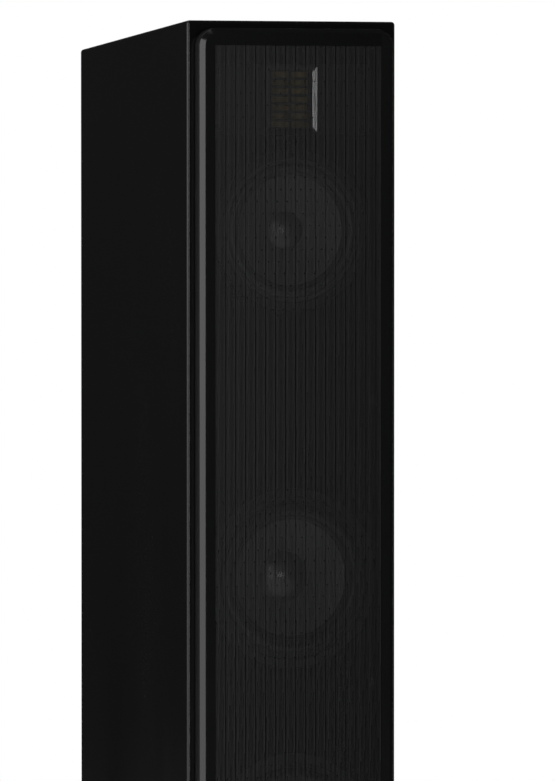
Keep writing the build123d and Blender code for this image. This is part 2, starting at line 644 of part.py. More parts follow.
POST_FLOOR = Y_REAR - CUP_DEEP      # inner floor of the terminal recess
with BuildPart() as terminal_cup:
    with BuildSketch(rear_at(CUP_Z)):
        RectangleRounded(CUP_W, CUP_H, 8)
    extrude(amount=-2.5)
    with BuildSketch(rear_at(CUP_Z, 2.5)):
        RectangleRounded(CUP_W - 20.4, CUP_H - 18.4, 4.8)
    extrude(amount=-(CUP_DEEP + 0.5))
    with BuildSketch(rear_at(CUP_Z)):
        RectangleRounded(CUP_W - 25, CUP_H - 23, 4)
    with BuildSketch(rear_at(CUP_Z, CUP_DEEP)):
        RectangleRounded(CUP_W - 33, CUP_H - 31, 3)
    loft(mode=Mode.SUBTRACT)
    with BuildSketch(rear_at(CUP_Z, CUP_DEEP)):     # insulating collars under the posts
        with Locations((-POST_X, 0), (POST_X, 0)):
            Circle(9.0)
    extrude(amount=3.0)
    with BuildSketch(rear_at(CUP_Z)):
        with Locations((-POST_X, 0), (POST_X, 0)):
            Circle(3.0)
    extrude(amount=-CUP_DEEP - 10, mode=Mode.SUBTRACT)
    with BuildSketch(rear_at(CUP_Z)):
        with GridLocations(CUP_W - 10, CUP_H - 9, 2, 2):
            Circle(2.1)
    extrude(amount=-2.5, mode=Mode.SUBTRACT)
    with BuildSketch(rear_at(CUP_Z)):
        with GridLocations(CUP_W - 10, CUP_H - 9, 2, 2):
            Circle(SCREW_HEAD_R + 0.15)
    extrude(amount=-SCREW_HEAD_T, mode=Mode.SUBTRACT)
save(terminal_cup, "terminal_cup")

with BuildPart() as binding_post_studs:     # M6 posts, bored for a 4 mm plug, with a nut and solder tag inside
    for x in (-POST_X, POST_X):
        with BuildSketch(rear_at(CUP_Z, CUP_DEEP + 14.0, x)):
            Circle(3.0)
        extrude(amount=CUP_DEEP + 14.0 - 6.0)
        with BuildSketch(rear_at(CUP_Z, CUP_DEEP + 3.0, x)):
            RegularPolygon(5.6, 6)
        extrude(amount=-4.0)
        with BuildSketch(rear_at(CUP_Z, 6.0, x)):
            Circle(2.0)
        extrude(amount=-19.0, mode=Mode.SUBTRACT)
save(binding_post_studs, "binding_post_studs")

for x, colour in ((-POST_X, "red"), (POST_X, "black")):
    with BuildPart() as washer:     # captive clamping washer
        with BuildSketch(rear_at(CUP_Z, CUP_DEEP - 3.2, x)):
            Circle(7.6)
            Circle(3.05, mode=Mode.SUBTRACT)
        extrude(amount=1.4)
    save(washer, f"{colour}_post_washer")
    with BuildPart() as cap:        # knurled clamping cap
        with BuildSketch(rear_at(CUP_Z, CUP_DEEP - 4.7, x)):
            Circle(8.4)
        extrude(amount=17.5)
        chamfer(cap.edges().filter_by(GeomType.CIRCLE), 0.8)
        with BuildSketch(rear_at(CUP_Z, CUP_DEEP - 8.0, x)):
            with PolarLocations(8.7, 20):
                Circle(0.75)
        extrude(amount=12.4, mode=Mode.SUBTRACT)
        with BuildSketch(rear_at(CUP_Z, CUP_DEEP - 4.7, x)):
            Circle(3.05)
        extrude(amount=17.5, mode=Mode.SUBTRACT)
    save(cap, f"{colour}_post_cap")

# ---------------------------------------------------------------- crossover
BOARD_Y = Y_REAR - SIDE_T
with BuildPart() as crossover_board:
    with BuildSketch(face_at(585.0, BOARD_Y - Y_FRONT)):
        RectangleRounded(128, 118, 4)
        with GridLocations(118, 108, 2, 2):
            Circle(2.1, mode=Mode.SUBTRACT)
    extrude(amount=3.0)
save(crossover_board, "crossover_board")

COMP_D = BOARD_Y - 3.0 - Y_FRONT
with BuildPart() as crossover_inductors:    # air-core coils
    for x, z, r in ((-32, 612, 20.0), (10, 616, 16.0), (36, 562, 18.0)):
        with BuildSketch(face_at(z, COMP_D, x)):
            Circle(r)
            Circle(r * 0.42, mode=Mode.SUBTRACT)
        extrude(amount=18.0)
save(crossover_inductors, "crossover_inductors")

with BuildPart() as crossover_capacitors:   # film capacitors lying on the board
    for x, z, r in ((-36, 566, 8.0), (-14, 566, 8.0), (-25, 538, 6.5), (44, 610, 6.5)):
        with BuildSketch(Plane(origin=(x, BOARD_Y - 3.0 - r, z - 17), x_dir=(1, 0, 0), z_dir=(0, 0, 1))):
            Circle(r)
        extrude(amount=26.0 if r < 7 else 34.0)
save(crossover_capacitors, "crossover_capacitors")

# ---------------------------------------------------------------- wiring
WIRE_R = 1.5
runs = (
    ((-POST_X, 117, CUP_Z), (-50, 100, 150), (-50, 100, 510), (-30, 120, 534)),
    ((POST_X, 117, CUP_Z), (50, 100, 150), (50, 100, 510), (28, 120, 530)),
    ((-8, 118, 552), (-52, 60, 560), (-52, -60, 580), (-52, -82, 590)),
    ((10, 118, 548), (52, 90, 490), (52, 90, 440), (52, -60, 380), (52, -82, 356)),
    ((-6, 118, 640), (-40, 80, 676), (-40, 80, 850), (-46, -60, 885), (-46, -84, 893)),
    ((22, 118, 640), (40, 80, 676), (40, 80, 860), (30, -60, 985), (20, -104, 1004)),
)
with BuildPart() as wiring_harness:
    for pts in runs:
        with BuildLine() as path:
            FilletPolyline(*pts, radius=8.0)
        with BuildSketch(Plane(origin=path.line @ 0, z_dir=path.line % 0)):
            Circle(WIRE_R)
        sweep(path=path.line)
save(wiring_harness, "wiring_harness")

# ---------------------------------------------------------------- feet
with BuildPart() as foot_inserts:       # threaded inserts pressed into the bottom panel
    with BuildSketch(Plane.XY.offset(Z0 - 1.5)):
        with Locations(*foot_spots):
            Circle(10.0)
    extrude(amount=1.5)
    with BuildSketch(Plane.XY.offset(Z0)):
        with Locations(*foot_spots):
            Circle(6.5)
    extrude(amount=19.0)
    with BuildSketch(Plane.XY.offset(Z0 - 1.5)):
        with Locations(*foot_spots):
            Circle(INSERT_BORE_R)
    extrude(amount=19.5, mode=Mode.SUBTRACT)
save(foot_inserts, "foot_inserts")

for (x, y), where in zip(foot_spots, ("front_left", "front_right", "rear_left", "rear_right")):
    with BuildPart() as pad:        # soft pad that stands on the floor, with the stud's socket
        with BuildSketch(Plane.XY):
            with Locations((x, y)):
                Circle(18.0)
        extrude(amount=10.0)
        chamfer(pad.faces().sort_by(Axis.Z)[-1].edges(), 2.5)
        chamfer(pad.faces().sort_by(Axis.Z)[0].edges(), 0.6)
        with BuildSketch(Plane.XY.offset(3.0)):
            with Locations((x, y)):
                Circle(5.05)
        extrude(amount=7.0, mode=Mode.SUBTRACT)
    save(pad, f"foot_pad_{where}")
    with BuildPart() as stud:       # levelling stud with a knurled finger collar
        with BuildSketch(Plane.XY.offset(12.0)):
            with Locations((x, y)):
                Circle(11.0)
        extrude(amount=6.0)
        chamfer(stud.edges().filter_by(GeomType.CIRCLE), 0.6)
        with BuildSketch(Plane.XY.offset(11.0)):
            with Locations((x, y)):
                with PolarLocations(11.3, 24):
                    Circle(0.8)
        extrude(amount=8.0, mode=Mode.SUBTRACT)
        with BuildSketch(Plane.XY.offset(3.03)):
            with Locations((x, y)):
                Circle(5.0)
        extrude(amount=10.0)
        with BuildSketch(Plane.XY.offset(17.0)):
            with Locations((x, y)):
                Circle(STUD_R)
        extrude(amount=22.0)
    save(stud, f"foot_stud_{where}")
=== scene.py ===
import math

import bmesh
import bpy
import numpy as np
from mathutils import Matrix, Vector, noise


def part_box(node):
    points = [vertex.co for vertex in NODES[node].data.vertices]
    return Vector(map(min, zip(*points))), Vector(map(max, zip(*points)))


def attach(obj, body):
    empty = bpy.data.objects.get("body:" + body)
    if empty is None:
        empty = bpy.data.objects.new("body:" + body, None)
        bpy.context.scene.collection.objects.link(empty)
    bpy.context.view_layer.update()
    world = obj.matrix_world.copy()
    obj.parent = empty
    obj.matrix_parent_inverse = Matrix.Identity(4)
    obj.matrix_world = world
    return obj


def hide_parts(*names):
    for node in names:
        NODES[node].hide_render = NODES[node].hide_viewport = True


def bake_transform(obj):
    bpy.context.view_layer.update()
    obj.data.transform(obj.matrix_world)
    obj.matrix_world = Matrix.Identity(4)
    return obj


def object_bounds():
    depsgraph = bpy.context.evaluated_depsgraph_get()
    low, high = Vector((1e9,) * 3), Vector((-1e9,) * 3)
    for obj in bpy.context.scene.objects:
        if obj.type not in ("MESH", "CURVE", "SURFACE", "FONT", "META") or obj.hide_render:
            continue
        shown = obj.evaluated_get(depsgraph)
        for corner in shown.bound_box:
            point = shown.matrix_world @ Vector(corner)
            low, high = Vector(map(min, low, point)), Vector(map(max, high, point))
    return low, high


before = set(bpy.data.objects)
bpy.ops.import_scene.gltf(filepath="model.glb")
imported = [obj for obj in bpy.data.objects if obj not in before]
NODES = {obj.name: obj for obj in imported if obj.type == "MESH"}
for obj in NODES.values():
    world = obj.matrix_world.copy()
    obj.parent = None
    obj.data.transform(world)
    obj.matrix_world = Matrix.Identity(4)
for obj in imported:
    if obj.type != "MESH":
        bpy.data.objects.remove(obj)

CAD_LO, CAD_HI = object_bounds()
MM = 0.001
scene = bpy.context.scene

# ------------------------------------------------------------------ places, read from the frame
baffle_lo, baffle_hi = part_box("front_baffle")
Y_FACE = baffle_lo.y                      # front face of the baffle
TOP = baffle_hi.z                         # top front edge
grille_lo, grille_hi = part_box("grille")
PLATE_LO, PLATE_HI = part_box("tweeter_faceplate")


def centre(node):
    lo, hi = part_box(node)
    return (lo + hi) / 2


DRIVERS = {
    "midrange": dict(
        c=centre("midrange_magnet"), flange_r=71.0, seat_r=63.3, seat_d=2.6, roll_out=59.5, roll_in=51.5, roll_h=3.6,
        coil_r=12.9, spider_r=40.0, ledge_in=36.5, spider_d=26.2, waves=6,
    ),
    "upper_woofer": dict(
        c=centre("upper_woofer_voice_coil"), flange_r=79.0, seat_r=71.3, seat_d=2.6, roll_out=66.5, roll_in=54.5, roll_h=6.0,
        coil_r=19.1, spider_r=50.0, ledge_in=46.0, spider_d=31.2, waves=7,
    ),
    "lower_woofer": dict(
        c=centre("lower_woofer_voice_coil"), flange_r=79.0, seat_r=71.3, seat_d=2.6, roll_out=66.5, roll_in=54.5, roll_h=6.0,
        coil_r=19.1, spider_r=50.0, ledge_in=46.0, spider_d=31.2, waves=7,
    ),
}


# ------------------------------------------------------------------ node-material helpers
class Shade:
    """A node material with short helpers for its procedural detail."""

    def __init__(self, name):
        self.m = bpy.data.materials.new(name)
        self.m.use_nodes = True
        self.nt = self.m.node_tree
        self.b = self.nt.nodes["Principled BSDF"]
        self.coord = self.nt.nodes.new("ShaderNodeTexCoord").outputs["Object"]
        self.last_normal = None

    def n(self, kind, **props):
        node = self.nt.nodes.new(kind)
        for k, v in props.items():
            setattr(node, k, v)
        return node

    def link(self, a, b):
        self.nt.links.new(a, b)

    def val(self, socket, value):
        if isinstance(value, bpy.types.NodeSocket):
            self.link(value, socket)
        else:
            socket.default_value = value

    def mapped(self, scale=(1, 1, 1), rot=(0, 0, 0), loc=(0, 0, 0), coord=None):
        m = self.n("ShaderNodeMapping")
        self.link(coord or self.coord, m.inputs["Vector"])
        m.inputs["Scale"].default_value = scale
        m.inputs["Rotation"].default_value = rot
        m.inputs["Location"].default_value = loc
        return m.outputs["Vector"]

    def noise(self, scale, detail=3.0, rough=0.5, coord=None, distortion=0.0):
        t = self.n("ShaderNodeTexNoise")
        self.link(coord or self.coord, t.inputs["Vector"])
        t.inputs["Scale"].default_value = scale
        t.inputs["Detail"].default_value = detail
        t.inputs["Roughness"].default_value = rough
        t.inputs["Distortion"].default_value = distortion
        return t.outputs["Fac"]

    def voronoi(self, scale, coord=None, feature="F1"):
        t = self.n("ShaderNodeTexVoronoi", feature=feature)
        self.link(coord or self.coord, t.inputs["Vector"])
        t.inputs["Scale"].default_value = scale
        return t.outputs["Distance"]

    def math(self, op, a, b=0.0, c=None, clamp=False):
        m = self.n("ShaderNodeMath", operation=op, use_clamp=clamp)
        self.val(m.inputs[0], a)
        self.val(m.inputs[1], b)
        if c is not None:
            self.val(m.inputs[2], c)
        return m.outputs[0]

    def span(self, fac, lo, hi, f0=0.0, f1=1.0):
        r = self.n("ShaderNodeMapRange")
        self.val(r.inputs["Value"], fac)
        for k, v in (("From Min", f0), ("From Max", f1), ("To Min", lo), ("To Max", hi)):
            self.val(r.inputs[k], v)
        return r.outputs["Result"]

    def ramp(self, fac, *stops):
        r = self.n("ShaderNodeValToRGB")
        self.link(fac, r.inputs["Fac"])
        e = r.color_ramp.elements
        while len(e) < len(stops):
            e.new(0.5)
        for el, (pos, col) in zip(e, stops):
            el.position = pos
            el.color = (*col, 1.0)
        return r.outputs["Color"]

    def mix(self, fac, a, b, mode="MIX"):
        m = self.n("ShaderNodeMix", data_type="RGBA", blend_type=mode)
        self.val(m.inputs[0], fac)
        for s, v in ((m.inputs[6], a), (m.inputs[7], b)):
            self.val(s, (*v, 1.0) if isinstance(v, tuple) and len(v) == 3 else v)
        return m.outputs[2]

    def split(self, coord=None):
        s = self.n("ShaderNodeSeparateXYZ")
        self.link(coord or self.coord, s.inputs[0])
        return s.outputs

    def polar(self, zc):
        """(radius from a driver's axis, angle) for the point shaded."""
        x, y, z = self.split()
        dz = self.math("SUBTRACT", z, zc)
        r = self.math("SQRT", self.math("ADD", self.math("MULTIPLY", x, x), self.math("MULTIPLY", dz, dz)))
        return r, self.math("ARCTAN2", dz, x), y

    def color(self, v):
        self.val(self.b.inputs["Base Color"], (*v, 1.0) if isinstance(v, tuple) and len(v) == 3 else v)

    def set(self, **kw):
        names = dict(
            rough="Roughness", metal="Metallic", spec="Specular IOR Level", coat="Coat Weight", coat_rough="Coat Roughness",
            sheen="Sheen Weight", sheen_rough="Sheen Roughness", aniso="Anisotropic", aniso_rot="Anisotropic Rotation",
            ior="IOR", sss="Subsurface Weight", trans="Transmission Weight",
        )
        for k, v in kw.items():
            self.val(self.b.inputs[names[k]], v)

    def bump(self, height, dist, strength=1.0):
        """Adds one layer of relief, dist in metres from low to high."""
        bp = self.n("ShaderNodeBump")
        self.link(height, bp.inputs["Height"])
        bp.inputs["Distance"].default_value = dist
        bp.inputs["Strength"].default_value = strength
        if self.last_normal is not None:
            self.link(self.last_normal, bp.inputs["Normal"])
        self.last_normal = bp.outputs["Normal"]
        self.link(self.last_normal, self.b.inputs["Normal"])
        return self


# ------------------------------------------------------------------ materials
def lacquer():
    s = Shade("black_satin_lacquer")
    cloud = s.noise(3.2, 4, 0.55)
    smear = s.noise(1.0, 5, 0.6, coord=s.mapped(scale=(9, 9, 2.2)))
    s.color(s.mix(s.span(cloud, 0.0, 1.0, 0.3, 0.7), LACQUER_A, LACQUER_B))
    x, y, z = s.split()
    front = s.math("LESS_THAN", y, Y_FACE + 0.00012)
    s.set(rough=s.math("ADD", s.span(smear, LACQUER_ROUGH - 0.03, LACQUER_ROUGH + 0.05, 0.3, 0.7),
                       s.span(s.noise(420, 2), 0.0, 0.03, 0.45, 0.75)),
          spec=s.math("SUBTRACT", LACQUER_SPEC, s.math("MULTIPLY", front, 0.16)))
    s.bump(s.noise(260, 2, 0.4), 0.000012, 0.6)
    s.bump(s.noise(1900, 2, 0.5), 0.000004, 0.5)
    return s.m


def raw_board():
    s = Shade("raw_fibreboard")
    fibre = s.noise(90, 6, 0.65, coord=s.mapped(scale=(1.0, 1.0, 3.0)))
    speck = s.noise(900, 3, 0.7)
    col = s.ramp(fibre, (0.25, (0.30, 0.205, 0.12)), (0.55, (0.42, 0.30, 0.185)), (0.8, (0.50, 0.375, 0.245)))
    s.color(s.mix(s.span(speck, 0.0, 0.5, 0.5, 0.75), col, (0.21, 0.14, 0.08)))
    s.set(rough=s.span(fibre, 0.78, 0.92), spec=0.25)
    s.bump(fibre, 0.00010, 0.6).bump(speck, 0.00005, 0.6)
    return s.m


def wadding():
    s = Shade("polyester_wadding")
    f1 = s.noise(160, 8, 0.72, distortion=2.2)
    f2 = s.noise(520, 5, 0.75, coord=s.mapped(scale=(1.0, 2.2, 0.7), rot=(0.3, 0.2, 0.5)), distortion=1.5)
    s.color(s.mix(s.span(f1, 0.0, 1.0, 0.35, 0.7), (0.56, 0.56, 0.54), (0.86, 0.86, 0.84)))
    s.set(rough=0.95, spec=0.1, sheen=0.6, sheen_rough=0.5)
    s.bump(f1, 0.0012, 0.8).bump(f2, 0.0005, 0.7)
    return s.m


def powder_coat(name, base, rough, grain=2600.0, relief=0.00001, tint=None, spec=0.5, metal=0.0):
    s = Shade(name)
    g = s.noise(grain, 2, 0.5)
    big = s.noise(22, 4, 0.6)
    hi = tint or tuple(c * 1.5 + 0.0006 for c in base)
    s.color(s.mix(s.span(g, 0.0, 1.0, 0.42, 0.72), base, hi))
    s.set(rough=s.math("ADD", s.span(big, rough - 0.035, rough + 0.035, 0.3, 0.7), s.span(g, -0.02, 0.03)), spec=spec, metal=metal)
    s.bump(g, relief, 0.7)
    return s.m


def faceplate():
    """Textured black plate; the bevel beside the waveguide is bright-machined on its left and right cheeks only."""
    s = Shade("faceplate_black_and_satin_bevel")
    g = s.noise(2200.0, 2, 0.5)
    big = s.noise(22, 4, 0.6)
    x, y, z = s.split()
    zc = (PLATE_LO.z + PLATE_HI.z) / 2
    inside = s.math("MULTIPLY", s.math("LESS_THAN", s.math("ABSOLUTE", x), 0.02355),
                    s.math("LESS_THAN", s.math("ABSOLUTE", s.math("SUBTRACT", z, zc)), 0.02915))
    shallow = s.math("MULTIPLY", s.math("GREATER_THAN", y, Y_FACE + 0.00004), s.math("LESS_THAN", y, Y_FACE + 0.00202))
    cheek = s.math("GREATER_THAN", s.math("MULTIPLY", s.math("ABSOLUTE", x), 1.21), s.math("ABSOLUTE", s.math("SUBTRACT", z, zc)))
    bevel = s.math("MULTIPLY", s.math("MULTIPLY", inside, shallow), cheek)
    lines = s.noise(1.0, 3, 0.5, coord=s.mapped(scale=(2600, 2600, 40)))
    black = s.mix(s.span(g, 0.0, 1.0, 0.42, 0.72), (0.010, 0.010, 0.0105), (0.016, 0.016, 0.0165))
    s.color(s.mix(bevel, black, s.mix(s.span(lines, 0, 1, 0.3, 0.7), (0.50, 0.50, 0.51), (0.66, 0.66, 0.66))))
    s.set(metal=bevel, rough=s.math("ADD", s.span(big, 0.36, 0.43, 0.3, 0.7), s.math("MULTIPLY", bevel, s.span(lines, -0.12, -0.06))))
    s.bump(g, 0.000014, 0.6)
    return s.m


def grille_coat():
    """Semi-gloss black on the formed sheet, with a painted highlight: its side wall and return lip get a lighter colour
    than the face; the slotted field is a touch duller towards one side.
    """
    s = Shade("grille_powder_coat")
    g = s.noise(2600.0, 2, 0.5)
    big = s.noise(22, 4, 0.6)
    x, y, z = s.split()
    field = s.math("MULTIPLY", s.math("LESS_THAN", s.math("ABSOLUTE", x), 0.0781), s.math("LESS_THAN", y, Y_GRILLE + 0.0006))
    # painted highlight: the side wall and return lip of this one sheet are coloured lighter than its face, standing in
    # for the light that falls on the left-facing wall
    wall = s.math("GREATER_THAN", y, Y_GRILLE + 0.0044)
    face = s.mix(s.span(g, 0.0, 1.0, 0.42, 0.72), GRILLE_BASE, tuple(c * 1.5 + 0.0006 for c in GRILLE_BASE))
    s.color(s.mix(wall, face, (0.020, 0.021, 0.020)))
    s.set(rough=s.math("ADD", s.span(big, GRILLE_ROUGH - 0.03, GRILLE_ROUGH + 0.03, 0.3, 0.7), s.span(g, -0.01, 0.02)),
          spec=s.math("SUBTRACT", 0.5, s.math("MULTIPLY", field, s.span(x, FIELD_DULL[0], FIELD_DULL[1], -0.078, 0.078))))
    s.bump(g, 0.000006, 0.7)
    return s.m


def steel(name, base, rough=0.32, lines=None, tint=(0.55, 0.52, 0.42)):
    s = Shade(name)
    g = s.noise(9.0, 5, 0.6)
    brush = s.noise(1.0, 4, 0.6, coord=s.mapped(scale=lines or (900, 900, 60)))
    s.color(s.mix(s.span(g, 0.0, 0.28, 0.4, 0.75), base, tint))
    s.set(metal=1.0, rough=s.math("ADD", s.span(brush, rough - 0.07, rough + 0.09, 0.3, 0.7), s.span(g, -0.03, 0.05)))
    s.bump(brush, 0.00001, 0.6)
    return s.m


def ribbon_foil():
    s = Shade("gold_ribbon_foil")
    x, y, z = s.split()
    tracks = s.math("SINE", s.math("MULTIPLY", y, 2 * math.pi / 0.00105))     # printed conductor tracks along the pleats
    crinkle = s.noise(900, 4, 0.6, coord=s.mapped(scale=(1, 1, 0.25)))
    base = s.mix(s.span(tracks, 0.0, 0.55, 0.1, 0.6), RIBBON_GOLD, RIBBON_TRACK)
    s.color(s.mix(s.span(s.noise(70, 3), 0.0, 0.4, 0.4, 0.7), base, (0.62, 0.50, 0.27)))
    s.set(metal=RIBBON_METAL, rough=s.span(crinkle, 0.26, 0.48), spec=0.6)
    s.bump(crinkle, 0.00006, 0.7)
    return s.m


def nickel():
    s = Shade("nickel_plating")
    g = s.noise(40, 5, 0.6)
    fine = s.noise(2400, 2)
    s.color(s.mix(s.span(g, 0, 1, 0.35, 0.7), (0.56, 0.55, 0.51), (0.70, 0.69, 0.66)))
    s.set(metal=1.0, rough=s.math("ADD", s.span(g, 0.17, 0.30), s.span(fine, 0.0, 0.05)))
    s.bump(fine, 0.000006, 0.5)
    return s.m


def ferrite():
    s = Shade("sintered_ferrite")
    g = s.noise(600, 4, 0.7)
    chips = s.voronoi(260)
    s.color(s.mix(s.span(g, 0, 1, 0.3, 0.7), (0.055, 0.055, 0.058), (0.105, 0.10, 0.10)))
    s.set(rough=s.span(g, 0.52, 0.72), spec=0.45)
    s.bump(g, 0.00004, 0.6).bump(chips, 0.00003, 0.25)
    return s.m


def rubber(name, base=(0.013, 0.013, 0.0135), rough=0.46, rings=None):
    s = Shade(name)
    g = s.noise(1500, 3, 0.6)
    bloom = s.noise(30, 4, 0.6)
    s.color(s.mix(s.span(bloom, 0.0, 0.5, 0.45, 0.75), base, tuple(c * 1.9 + 0.004 for c in base)))
    s.set(rough=s.math("ADD", s.span(bloom, rough - 0.04, rough + 0.06), s.span(g, -0.03, 0.04)), spec=0.42, sheen=0.08)
    s.bump(g, 0.00002, 0.6)
    if rings is not None:
        s.bump(s.math("SINE", s.math("MULTIPLY", s.split()[2], 2 * math.pi / rings)), 0.00008, 0.5)
    return s.m


def cloth_resin(zc):
    """Resin-dipped cotton: a square weave along x and z, amber-brown."""
    s = Shade("resin_cloth_%d" % round(zc * 1000))
    x, y, z = s.split()
    warp = s.math("SINE", s.math("MULTIPLY", x, 2 * math.pi / 0.0009))
    weft = s.math("SINE", s.math("MULTIPLY", z, 2 * math.pi / 0.0009))
    weave = s.math("MULTIPLY", warp, weft)
    blot = s.noise(60, 4, 0.6)
    col = s.mix(s.span(weave, 0.0, 1.0, -0.6, 0.8), (0.30, 0.17, 0.05), (0.62, 0.42, 0.17))
    s.color(s.mix(s.span(blot, 0.0, 0.5, 0.4, 0.75), col, (0.24, 0.13, 0.04)))
    s.set(rough=s.span(weave, 0.72, 0.55, -1, 1), spec=0.4, sheen=0.25)
    s.bump(weave, 0.00018, 0.7)
    return s.m


def cone_pulp(zc, rings):
    """Coated paper pulp: felted fibres and faint pressed rings."""
    s = Shade("cone_pulp_%d" % round(zc * 1000))
    r, a, y = s.polar(zc)
    press = s.math("SINE", s.math("MULTIPLY", r, 2 * math.pi / rings))
    v = s.n("ShaderNodeCombineXYZ")
    s.val(v.inputs[0], s.math("MULTIPLY", r, 900.0))
    s.val(v.inputs[1], s.math("MULTIPLY", a, 22.0))
    s.val(v.inputs[2], s.math("MULTIPLY", y, 300.0))
    fibre = s.noise(1.0, 5, 0.65, coord=v.outputs[0], distortion=0.8)
    felt = s.noise(700, 4, 0.7, distortion=1.0)
    col = s.mix(s.span(fibre, 0.0, 1.0, 0.3, 0.72), CONE_A, CONE_B)
    s.color(s.mix(s.span(felt, 0.0, 0.45, 0.55, 0.75), col, (0.12, 0.12, 0.122)))
    s.set(rough=s.math("ADD", s.span(fibre, 0.42, 0.58, 0.3, 0.7), s.span(press, -0.03, 0.03, -1, 1)), spec=0.5, sheen=0.12)
    s.bump(press, 0.00006, 0.5).bump(fibre, 0.00005, 0.6).bump(felt, 0.00003, 0.5)
    return s.m


def dust_cap(zc):
    s = Shade("dust_cap_%d" % round(zc * 1000))
    x, y, z = s.split()
    w = s.math("MULTIPLY", s.math("SINE", s.math("MULTIPLY", s.math("ADD", x, z), 2 * math.pi / 0.0016)),
               s.math("SINE", s.math("MULTIPLY", s.math("SUBTRACT", x, z), 2 * math.pi / 0.0016)))
    s.color(s.mix(s.span(w, 0, 1, -1, 1), (0.016, 0.016, 0.017), (0.034, 0.034, 0.036)))
    s.set(rough=s.math("ADD", s.span(w, 0.36, 0.42, -1, 1), s.span(s.noise(50), -0.02, 0.04)), spec=0.6, coat=1.0, coat_rough=0.29)
    s.bump(w, 0.00002, 0.4)
    return s.m


def copper():
    s = Shade("enamelled_copper")
    x, y, z = s.split()
    turns = s.math("SINE", s.math("MULTIPLY", y, 2 * math.pi / 0.0009))
    s.color(s.mix(s.span(turns, 0, 1, -0.9, 0.4), (0.30, 0.11, 0.045), (0.80, 0.40, 0.20)))
    s.set(metal=1.0, rough=s.math("ADD", s.span(turns, 0.42, 0.24, -1, 1), s.span(s.noise(80), -0.03, 0.05)), coat=0.4, coat_rough=0.12)
    s.bump(turns, 0.00022, 0.8)
    return s.m


def moulding(name, base, rough=0.42, grain=1300.0, relief=0.00003, coat=0.0, trans=0.0):
    """Spark-textured plastic."""
    s = Shade(name)
    v = s.voronoi(grain)
    n2 = s.noise(grain * 0.6, 3, 0.6)
    flow = s.noise(14, 3, 0.5)
    s.color(s.mix(s.span(flow, 0, 0.5, 0.4, 0.7), base, tuple(c * 1.35 + 0.003 for c in base)))
    s.set(rough=s.math("ADD", s.span(flow, rough - 0.03, rough + 0.04), s.span(n2, -0.03, 0.03)), spec=0.5, coat=coat, coat_rough=0.1, trans=trans)
    s.bump(s.math("ADD", v, n2), relief, 0.5)
    return s.m


def gold_plate():
    s = Shade("gold_plating")
    g = s.noise(70, 4, 0.6)
    fine = s.noise(2600, 2)
    s.color(s.mix(s.span(g, 0, 1, 0.35, 0.7), (0.78, 0.55, 0.20), (0.92, 0.72, 0.36)))
    s.set(metal=1.0, rough=s.math("ADD", s.span(g, 0.14, 0.26), s.span(fine, 0.0, 0.05)))
    s.bump(fine, 0.000006, 0.5)
    return s.m


def capacitor():
    s = Shade("capacitor_film")
    x, y, z = s.split()
    wrap = s.noise(1.0, 3, 0.5, coord=s.mapped(scale=(500, 500, 16)))
    s.color(s.mix(s.span(wrap, 0, 1, 0.35, 0.7), (0.52, 0.38, 0.07), (0.74, 0.58, 0.17)))
    s.set(rough=s.span(wrap, 0.25, 0.4), spec=0.5, coat=0.3)
    s.bump(wrap, 0.00004, 0.5)
    return s.m


def cable_sleeve():
    s = Shade("cable_sleeve")
    g = s.noise(900, 3)
    d = s.math("SINE", s.math("MULTIPLY", s.math("ADD", s.split()[2], s.split()[0]), 2 * math.pi / 0.004))
    s.color(s.mix(s.span(d, 0, 1, 0.2, 0.5), (0.26, 0.02, 0.018), (0.34, 0.035, 0.03)))
    s.set(rough=s.span(g, 0.36, 0.5), spec=0.45, coat=0.15)
    s.bump(d, 0.00008, 0.4).bump(g, 0.00001, 0.5)
    return s.m


# photograph levels set these
LACQUER_A, LACQUER_B = (0.0016, 0.0016, 0.0020), (0.0025, 0.0025, 0.0030)
LACQUER_ROUGH, LACQUER_SPEC = 0.22, 0.5
GRILLE_BASE, GRILLE_ROUGH = (0.0044, 0.0049, 0.0045), 0.16
WORLD_BACK, WORLD_FRONT, WORLD_TOP = 0.030, 0.080, 0.03
FLOOR_GLOSS = 0.55
CAP_LIGHT = 18.0
TOP_LIGHT = 0.9
FLOOR_LIFT = 0.42
Y_GRILLE, FIELD_DULL = grille_lo.y, (0.0, 0.19)
# name, azimuth, distance, height, aimed at, width, height, face brightness
LIGHTS = [
    ("left_softbox", -73, 2.4, 1.0, 0.8, 1.6, 2.8, 2.4, 0.25),
    ("left_front_strip", -27, 2.8, 1.0, 0.8, 0.24, 2.4, 6.0),
    ("left_rear_fill", -112, 2.4, 1.0, 0.8, 1.0, 2.4, 0.9, 0.25),
    ("rear_right_strip", 142, 2.6, 1.1, 0.7, 1.3, 2.4, 0.9, 0.25),
]
CONE_A, CONE_B = (0.040, 0.040, 0.042), (0.080, 0.080, 0.083)
RIBBON_GOLD, RIBBON_TRACK, RIBBON_METAL = (0.92, 0.82, 0.52), (0.66, 0.56, 0.30), 0.55

